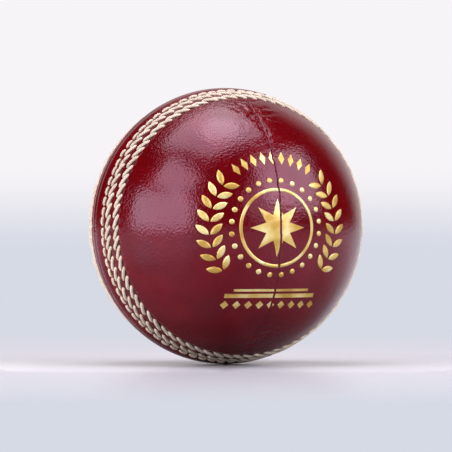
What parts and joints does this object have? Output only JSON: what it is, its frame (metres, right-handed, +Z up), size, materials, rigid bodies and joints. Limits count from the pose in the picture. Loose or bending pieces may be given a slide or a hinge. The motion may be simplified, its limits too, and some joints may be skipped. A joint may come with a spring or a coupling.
{
  "type": "cricket ball",
  "caption": "Hard leather-covered ball with a wound cork core and a raised, stitched seam band round its middle, for cricket.",
  "frame": {"origin": "centre of the ball", "axes": "+Y along the seam axis from the front face to the rear face, +Z up with the join standing upright, +X to the right as seen from the front"},
  "size_m": [0.0732, 0.0722, 0.0732],
  "materials": {
    "cover_leather": "deep red aniline-dyed cowhide, polished and lacquered to a high gloss",
    "seam_thread": "waxed natural linen thread, twisted, cream",
    "foil": "hot-pressed gold foil on leather, slightly worn",
    "patch_leather": "thin undyed leather, flesh side out",
    "yarn": "worsted wool yarn, wound tight and damp, matt",
    "cork": "cut natural cork, matt"
  },
  "bodies": {
    "root": {"cork_nucleus": "cork", "yarn_winding_1": "yarn", "cork_layer_1": "cork", "yarn_winding_2": "yarn", "cork_layer_2": "cork", "yarn_winding_3": "yarn", "cork_layer_3": "cork", "yarn_winding_4": "yarn", "cork_layer_4": "cork", "yarn_winding_5": "yarn", "front_quarter_patch": "patch_leather", "rear_quarter_patch": "patch_leather", "front_quarter_thread": "seam_thread", "rear_quarter_thread": "seam_thread", "front_left_quarter": "cover_leather", "front_right_quarter": "cover_leather", "rear_upper_quarter": "cover_leather", "rear_lower_quarter": "cover_leather", "front_outer_row": "seam_thread", "front_middle_row": "seam_thread", "front_closing_row": "seam_thread", "rear_outer_row": "seam_thread", "rear_middle_row": "seam_thread", "rear_closing_row": "seam_thread", "front_foil": "foil", "rear_foil": "foil"}
  },
  "joints": []
}
